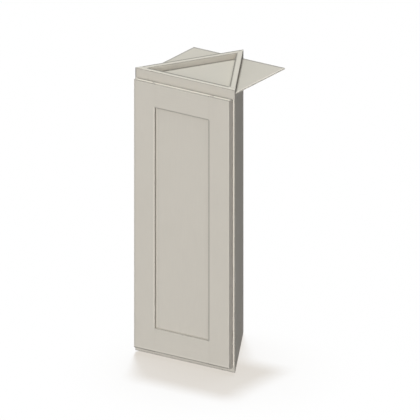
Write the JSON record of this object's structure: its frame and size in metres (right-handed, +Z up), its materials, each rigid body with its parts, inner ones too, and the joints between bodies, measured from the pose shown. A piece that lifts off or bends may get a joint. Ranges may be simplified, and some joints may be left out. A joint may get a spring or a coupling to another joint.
{
  "type": "corner wall cabinet",
  "caption": "Tall three-sided wall cabinet with a framed door hinged on the left, adjustable shelves, a raised top rim and a thin rectangular top board that sticks out past both slanted sides.",
  "frame": {"origin": "under the middle of the whole cabinet's box, in the level plane of its lower edges", "axes": "+X to the right along the front, +Y from the door to the back corner, +Z up"},
  "size_m": [0.3048, 0.2808, 0.762],
  "materials": {
    "painted_wood": "satin greige paint over wood",
    "maple_plywood": "clear satin lacquer on maple-faced plywood",
    "dowel_wood": "raw beech",
    "pin_steel": "nickel plated",
    "hinge_steel": "nickel plated",
    "hinge_pin_steel": "bright steel",
    "screw_steel": "zinc plated",
    "clear_rubber": "soft translucent"
  },
  "bodies": {
    "carcass": {"side_panel_left": "painted_wood", "side_panel_right": "painted_wood", "stile_left": "painted_wood", "stile_right": "painted_wood", "rail_top": "painted_wood", "rail_bottom": "painted_wood", "frame_dowels": "dowel_wood", "top_board": "painted_wood", "top_cleat": "maple_plywood", "bottom_board": "maple_plywood", "corner_block": "maple_plywood", "hanging_rail_upper_left": "maple_plywood", "hanging_rail_upper_right": "maple_plywood", "hanging_rail_lower_left": "maple_plywood", "hanging_rail_lower_right": "maple_plywood", "shelf_lower": "maple_plywood", "shelf_upper": "maple_plywood", "shelf_pins": "pin_steel", "hinge_arm_lower": "hinge_steel", "hinge_arm_upper": "hinge_steel", "hinge_arm_screws": "screw_steel"},
    "door": {"door_stile_left": "painted_wood", "door_stile_right": "painted_wood", "door_rail_top": "painted_wood", "door_rail_bottom": "painted_wood", "door_panel": "painted_wood", "hinge_cup_lower": "hinge_steel", "hinge_cup_upper": "hinge_steel", "hinge_pin_lower": "hinge_pin_steel", "hinge_pin_upper": "hinge_pin_steel", "hinge_cup_screws": "screw_steel", "door_bumpers": "clear_rubber"}
  },
  "joints": [
    {"name": "door_hinge", "type": "hinge", "parent": "carcass", "child": "door", "pos_m": [-0.1392, -0.13378, 0.37545], "axis": [0, 0, -1], "range_deg": [0, 105]}
  ]
}
